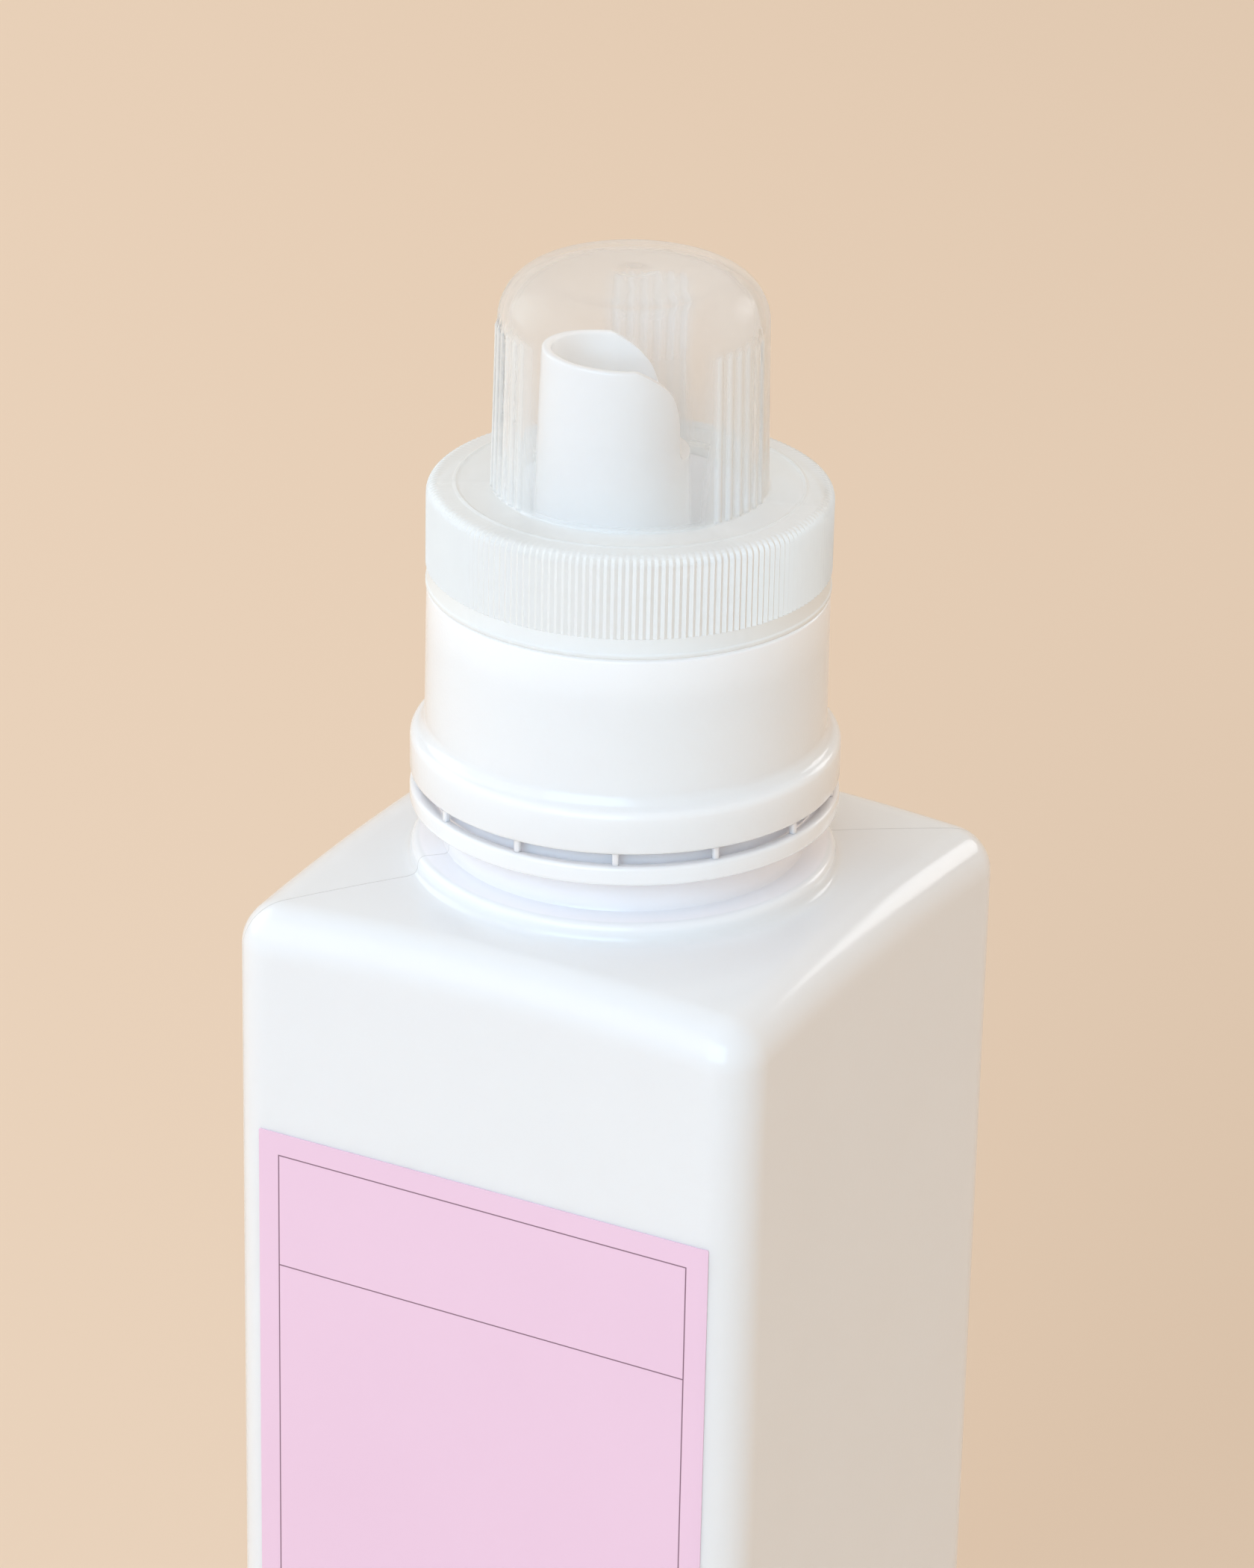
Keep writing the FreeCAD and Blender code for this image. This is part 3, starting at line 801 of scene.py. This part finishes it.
def thread(angle, height):
    """How far the carrier's thread stands out at an angle and a height."""
    start = SEAT + THREAD_START
    best = 0.0
    for turn_number in range(math.ceil(THREAD_TURNS)):
        travelled = turn_number + (angle % 360.0) / 360.0
        if travelled <= THREAD_TURNS:
            middle = start + THREAD_PITCH * travelled
            begun = smooth_step(travelled, 0.0, THREAD_RUN_OUT)
            ends = begun * smooth_step(travelled, THREAD_TURNS, THREAD_TURNS - THREAD_RUN_OUT)
            best = max(best, ends * (1 - smooth_step(abs(height - middle), THREAD_CREST, THREAD_FLANK)))
    return THREAD_DEPTH * best


def tamper_band():
    """The band under the flange, with the catch inside it that holds under the neck's bead."""
    inside = FLANGE_RADIUS - CLOSURE_WALL
    corners = [
        (FLANGE_RADIUS, BAND_FOOT, 0.55),
        (FLANGE_RADIUS, BAND_TOP, 0.45),
        (inside, BAND_TOP, 0.15),
        (inside, BAND_FOOT + CATCH_HEIGHT, 0),
        (inside - CATCH_REACH, BAND_FOOT + CATCH_HEIGHT, 0),
        (inside, BAND_FOOT, 0.1),
    ]
    return turn(profile(corners, True), CLOSURE_COLUMNS)


def bridges():
    """The thin webs between the band and the flange."""
    height = FLANGE_FOOT - BAND_TOP + 2 * BRIDGE_SINK
    middle = (BAND_TOP + FLANGE_FOOT) / 2
    made = []
    for number in range(BRIDGE_COUNT):
        web = bmesh.new()
        bmesh.ops.create_cube(web, size=1.0)
        bmesh.ops.scale(web, vec=(BRIDGE_WIDTH, BRIDGE_WIDTH, height), verts=web.verts[:])
        upright = [edge for edge in web.edges if rise_of(edge) > 0.5]
        bmesh.ops.bevel(web, geom=upright, offset=0.2, segments=3, profile=0.5, affect="EDGES", material=-1)
        bmesh.ops.translate(web, vec=(FLANGE_RADIUS - BRIDGE_INSET, 0, middle), verts=web.verts[:])
        turned = Matrix.Rotation(math.radians(BRIDGE_START + 360.0 / BRIDGE_COUNT * number), 3, "Z")
        bmesh.ops.rotate(web, verts=web.verts[:], cent=(0, 0, 0), matrix=turned)
        made.append(web)
    return made


def spout_radius(height):
    """Radius of the tapered spout at a height."""
    slope = (SPOUT_MOUTH_RADIUS - SPOUT_FOOT_RADIUS) / (SPOUT_MOUTH - SPOUT_FOOT)
    return SPOUT_FOOT_RADIUS + slope * (height - SPOUT_FOOT)


def notch_cutter():
    """The block that opens the rear of the spout, before the spout is turned to its angle."""
    top = SPOUT_MOUTH + 6
    side = 20.0
    # From the lip down an easy curve to the slot, as distance from the axis, height and rounding
    corners = [
        (1.2, top, 0),
        (1.2, SPOUT_MOUTH + 0.3, 0),
        (0.0, SPOUT_MOUTH, 0.6),
        (-1.9, SPOUT_MOUTH - 1.15, 0.9),
        (-3.6, SPOUT_MOUTH - 2.6, 0.9),
        (-4.6, SPOUT_MOUTH - 4.1, 0.8),
        (-NOTCH_REACH, SPOUT_MOUTH - 6.9, 1.2),
        (-NOTCH_REACH, NOTCH_FOOT, 1.2),
        (-side, NOTCH_FOOT, 0),
        (-side, top, 0),
    ]
    bm = profile(corners, True)
    bmesh.ops.contextual_create(bm, geom=bm.edges[:])
    bmesh.ops.translate(bm, vec=(0, -side, 0), verts=bm.verts[:])
    walls = bmesh.ops.extrude_face_region(bm, geom=bm.faces[:])["geom"]
    moved = [item for item in walls if isinstance(item, bmesh.types.BMVert)]
    bmesh.ops.translate(bm, vec=(0, 2 * side, 0), verts=moved)
    bmesh.ops.recalc_face_normals(bm, faces=bm.faces[:])
    return bm


def spout_tube():
    """The pouring spout, open at its rear, with a rounded lip."""
    foot = TROUGH_FLOOR - SPOUT_SINK
    mouth = SPOUT_MOUTH
    corners = [
        (spout_radius(foot), foot, 0),
        (spout_radius(mouth), mouth, 0.35),
        (spout_radius(mouth) - SPOUT_WALL, mouth, 0.35),
        (spout_radius(foot) - SPOUT_WALL, foot, 0),
    ]
    bm = turn(profile(corners, True), SPOUT_COLUMNS)
    lean = math.tan(math.radians(MOUTH_TILT))
    for vert in bm.verts:
        if vert.co.z > mouth - MOUTH_RIM:
            vert.co.z += lean * vert.co.x
    cutter = notch_cutter()
    bmesh.ops.rotate(cutter, verts=cutter.verts[:], cent=(0, NOTCH_TURN_CENTRE, 0),
                     matrix=Matrix.Rotation(math.radians(NOTCH_TURN), 3, "Z"))
    bm = cut(bm, cutter)
    bmesh.ops.translate(bm, vec=(SPOUT_OFFSET, 0, 0), verts=bm.verts[:])
    return bm


def trough_floor():
    """The sloping floor between the spout and the plug."""
    bm = bmesh.new()
    radius = PLUG_RADIUS - TROUGH_INTO_PLUG
    bmesh.ops.create_cone(bm, cap_ends=True, segments=96, radius1=radius, radius2=radius,
                          depth=TROUGH_THICKNESS)
    lean = math.tan(math.radians(TROUGH_TILT))
    for vert in bm.verts:
        vert.co.z += TROUGH_FLOOR - TROUGH_THICKNESS / 2 + lean * vert.co.x
    return bm


def make_closure(material):
    """The closure: its wall, the tamper band on its webs, the spout and the trough's floor."""
    turned_round = Matrix.Rotation(math.radians(LIP_ANGLE), 3, "Z")
    spout = spout_tube()
    floor = trough_floor()
    for bm in (spout, floor):
        bmesh.ops.rotate(bm, verts=bm.verts[:], cent=(0, 0, 0), matrix=turned_round)
    whole = joined([closure_wall(), tamper_band(), spout, floor] + bridges())
    return finish_piece("pouring_closure", whole, "bottle_body", material, "spout_closure")


# Measuring cap

def knurl(angle):
    """How far the skirt is drawn in between the tips of its knurl, from 0 to 1."""
    return (1 - math.cos(math.radians(angle * KNURL_COUNT))) / 2


def grip_rib(angle, radius, height):
    """How far the dome's ribs stand out at an angle and a height."""
    top = CAP_TOP - DOME_EDGE
    best = 0.0
    for group in range(RIB_GROUPS):
        middle = RIB_GROUP_ANGLE + 360.0 / RIB_GROUPS * group
        away = (angle - middle + 180.0) % 360.0 - 180.0
        reach = RIB_PITCH * RIBS_PER_GROUP / 2
        if abs(away) < reach:
            number = min(max(round(away / RIB_PITCH + (RIBS_PER_GROUP - 1) / 2), 0), RIBS_PER_GROUP - 1)
            side = math.radians(away - RIB_PITCH * (number - (RIBS_PER_GROUP - 1) / 2)) * radius
            above = max(height - top, 0.0)
            square = RIB_RADIUS ** 2 - side ** 2 - above ** 2
            if square > 0:
                best = max(best, math.sqrt(square) - (RIB_RADIUS - RIB_STAND))
    return best


def cap_wall():
    """The cap's wall from the gate mark down the outside, round the rim and up the inside to the axis."""
    band_top = CAP_RIM + RIM_BAND
    inside = CAP_RADIUS - CAP_WALL
    under = CAP_SHOULDER - CAP_WALL
    ceiling = CAP_TOP - CAP_WALL - GATE_DEPTH
    rib_top = CAP_TOP - DOME_EDGE
    corners = [
        (0.0, CAP_TOP - GATE_DEPTH, 0),
        (GATE_RADIUS / 2, CAP_TOP - GATE_DEPTH, 0.3),
        (GATE_RADIUS, CAP_TOP, 0.4),
        (DOME_TOP_RADIUS, CAP_TOP, DOME_EDGE),
    ]
    corners += [(DOME_TOP_RADIUS, rib_top - 0.45 * row, 0) for row in range(1, 4)]
    corners += [
        (DOME_FOOT_RADIUS, CAP_SHOULDER, DOME_FOOT_FILLET),
        (SHOULDER_RING_RADIUS - 0.35, CAP_SHOULDER, 0.08),
        (SHOULDER_RING_RADIUS, CAP_SHOULDER + SHOULDER_RING, 0.08),
        (SHOULDER_RING_RADIUS + 0.35, CAP_SHOULDER, 0.08),
        (CAP_RADIUS, CAP_SHOULDER, SKIRT_EDGE),
        (CAP_RADIUS, band_top + 0.25, 0),
        (CAP_RADIUS, band_top, 0),
        (CAP_RADIUS - RIM_BEAD, band_top - 0.02, 0),
        (CAP_RADIUS - RIM_BEAD, CAP_RIM + 0.65, 0.05),
        (CAP_RADIUS, CAP_RIM + 0.5, 0.05),
        (CAP_RADIUS, CAP_RIM, 0.15),
        (inside, CAP_RIM, 0.15),
        (inside, under, 0.7),
        (DOME_FOOT_RADIUS - CAP_WALL, under, 0.3),
        (DOME_TOP_RADIUS - CAP_WALL, ceiling, DOME_EDGE - CAP_WALL),
        (0.0, ceiling, 0),
    ]
    return profile(corners, False), band_top


def make_cap(material):
    """The measuring cap, turned and then drawn in for its knurl and out for its grip ribs."""
    wire, band_top = cap_wall()
    bm = turn(wire, CAP_COLUMNS)
    for vert in bm.verts:
        radius, angle = polar(vert)
        height = vert.co.z
        outside = CAP_RADIUS - SKIRT_EDGE - 0.6
        if radius > outside and height > band_top - 0.01:
            edge = smooth_step(radius, outside, CAP_RADIUS - SKIRT_EDGE * 0.7)
            place(vert, radius - KNURL_DEPTH * knurl(angle) * edge, angle)
        elif DOME_TOP_RADIUS - 0.4 < radius < DOME_FOOT_RADIUS + 0.05 and height > CAP_SHOULDER + 0.1:
            place(vert, radius + grip_rib(angle, radius, height), angle)
    return finish_piece("clear_measuring_cap", bm, "cap_body", material, "measuring_cap",
                        crease=50.0)


# Label

def make_label(material_maker):
    """The label as a thin sheet that lies on the front face and bends a little way round its corners."""
    left, right = LABEL_LOW.x, LABEL_HIGH.x
    foot, top = LABEL_LOW.z, LABEL_HIGH.z
    thickness = -BODY_HALF - LABEL_LOW.y
    bm = bmesh.new()
    outline = ((left, foot), (right, foot), (right, top), (left, top))
    corners = [bm.verts.new((across, 0, height)) for across, height in outline]
    bm.faces.new(corners)
    bmesh.ops.bevel(bm, geom=corners, offset=LABEL_CORNER, segments=6, profile=0.5,
                    affect="VERTICES", material=-1)
    straight = BODY_HALF - BODY_CORNER
    for side in (-1, 1):
        for step in range(LABEL_BEND_STEPS):
            bisect(bm, Vector((side * (straight + LABEL_BEND_STEP * step), 0, 0)), Vector((1, 0, 0)))
    for vert in bm.verts:
        beyond = max(abs(vert.co.x) - straight, 0.0)
        turned_angle = math.asin(min(beyond / (BODY_CORNER + thickness), 1.0))
        vert.co.y = -straight - (BODY_CORNER + thickness) * math.cos(turned_angle)
    for face in bm.faces:
        if face.normal.y > 0:
            face.normal_flip()
    material = material_maker(left + FRAME_SIDE_GAP, right - FRAME_SIDE_GAP,
                              foot + FRAME_TOP_GAP, top - FRAME_TOP_GAP)
    piece = finish_piece("front_label", bm, "bottle_body", material, "label")
    film = piece.modifiers.new("film", "SOLIDIFY")
    film.thickness = thickness * MM * FILM_SHARE
    film.offset = -1.0
    return piece


# Stage, light and camera

def stage_colours():
    """Floor and backdrop: one warm beige sheet that is a little deeper to the right, with a painted shadow of
    the bottle on its near right part.
    """
    material, recipe = new_recipe("beige_sheet")
    x, y, z = recipe.place()
    turned_by = math.radians(CAMERA_AZIMUTH)
    along = x * math.cos(turned_by) + y * math.sin(turned_by)
    deep = y * math.cos(turned_by) - x * math.sin(turned_by)
    side = along.rise(-260.0, 480.0)
    tone = recipe.between(side, *SHEET_TONES)
    # Painted shadow: the near right part of the sheet is darkened where the bottle's shadow falls
    bottle_shadow = along.rise(-40.0, 150.0) * deep.rise(560.0, 60.0)
    tone = recipe.between(bottle_shadow * SHEET_SHADOW_SHARE, tone, SHEET_SHADOW_TONE)
    shade = recipe.node("BsdfDiffuse", None, {"Color": tone})
    glow = recipe.node("Emission", None, {"Color": tone, "Strength": 1.0})
    seen = recipe.ray("Camera").most(recipe.ray("Glossy")).most(recipe.ray("Transmission"))
    recipe.output(recipe.node("MixShader", None, {"Fac": seen * SHEET_GLOW, 1: shade, 2: glow}))
    return material


def make_stage():
    """A wide beige floor that runs on behind the bottle as its backdrop."""
    bm = bmesh.new()
    bmesh.ops.create_grid(bm, x_segments=2, y_segments=2, size=SHEET_REACH)
    bmesh.ops.scale(bm, vec=(MM, MM, MM), verts=bm.verts[:])
    mesh = bpy.data.meshes.new("floor")
    bm.to_mesh(mesh)
    bm.free()
    mesh.materials.append(stage_colours())
    floor = bpy.data.objects.new("floor", mesh)
    bpy.context.scene.collection.objects.link(floor)


def direction_from(azimuth, elevation):
    """Unit vector towards a direction in degrees: azimuth 0 is in front of the label, and 90 to its right."""
    flat, high = math.radians(azimuth), math.radians(elevation)
    return Vector((math.sin(flat) * math.cos(high), -math.cos(flat) * math.cos(high), math.sin(high)))


def lamp(name, azimuth, elevation, distance, size, power, tint):
    """A square soft light that faces the bottle from a direction, in degrees and metres."""
    light = bpy.data.lights.new(name, "AREA")
    light.shape = "SQUARE"
    light.size = size
    light.energy = power
    light.color = tint
    made = bpy.data.objects.new(name, light)
    bpy.context.scene.collection.objects.link(made)
    back = direction_from(azimuth, elevation)
    target = Vector((0, 0, TARGET_HEIGHT * MM))
    made.location = target + back * distance
    made.rotation_mode = "QUATERNION"
    made.rotation_quaternion = (-back).to_track_quat("-Z", "Y")
    made.visible_camera = False


def make_world():
    """Even room light, brighter from the right, with the beige backdrop where it is seen or mirrored."""
    world = bpy.data.worlds.new("room")
    world.use_nodes = True
    bpy.context.scene.world = world
    recipe = Recipe(world.node_tree)
    direction = recipe.node("TexCoord", output="Generated")
    x = recipe.node("SeparateXYZ", None, {0: direction}, output="X")
    y = recipe.node("SeparateXYZ", None, {0: direction}, output="Y")
    side = (x * 0.95 + y * 0.30).rise(-0.35, 0.75)
    light = recipe.between(side, *ROOM_TONES)
    backdrop = recipe.between(side, *BACKDROP_TONES)
    seen = recipe.ray("Camera").most(recipe.ray("Glossy")).most(recipe.ray("Transmission"))
    shown = recipe.between(seen, light, backdrop)
    background = recipe.node("Background", None, {"Color": shown, "Strength": 1.0})
    recipe.output(background, "OutputWorld")


def make_camera():
    """The camera at the photograph's place."""
    flat = math.radians(CAMERA_AZIMUTH)
    back = direction_from(CAMERA_AZIMUTH, CAMERA_ELEVATION)
    right = Vector((math.cos(flat), math.sin(flat), 0))
    camera = bpy.data.cameras.new("camera")
    camera.lens = LENS
    camera.sensor_width = SENSOR
    camera.sensor_fit = "AUTO"
    camera.clip_start = 0.05
    camera.clip_end = 50.0
    made = bpy.data.objects.new("camera", camera)
    bpy.context.scene.collection.objects.link(made)
    target = Vector((0, 0, TARGET_HEIGHT)) + right * TARGET_SIDE
    made.location = (target + back * CAMERA_DISTANCE) * MM
    made.rotation_mode = "QUATERNION"
    level = (-back).to_track_quat("-Z", "Y")
    roll = Matrix.Rotation(math.radians(CAMERA_ROLL), 3, "Z").to_quaternion()
    made.rotation_quaternion = level @ roll
    bpy.context.scene.camera = made


make_bottle(blown_white())
make_closure(moulded_white())
make_cap(clear_haze())
make_label(label_film)
make_stage()
for settings in LAMPS:
    lamp(*settings)
make_world()
make_camera()
bpy.context.scene.view_settings.view_transform = "Standard"
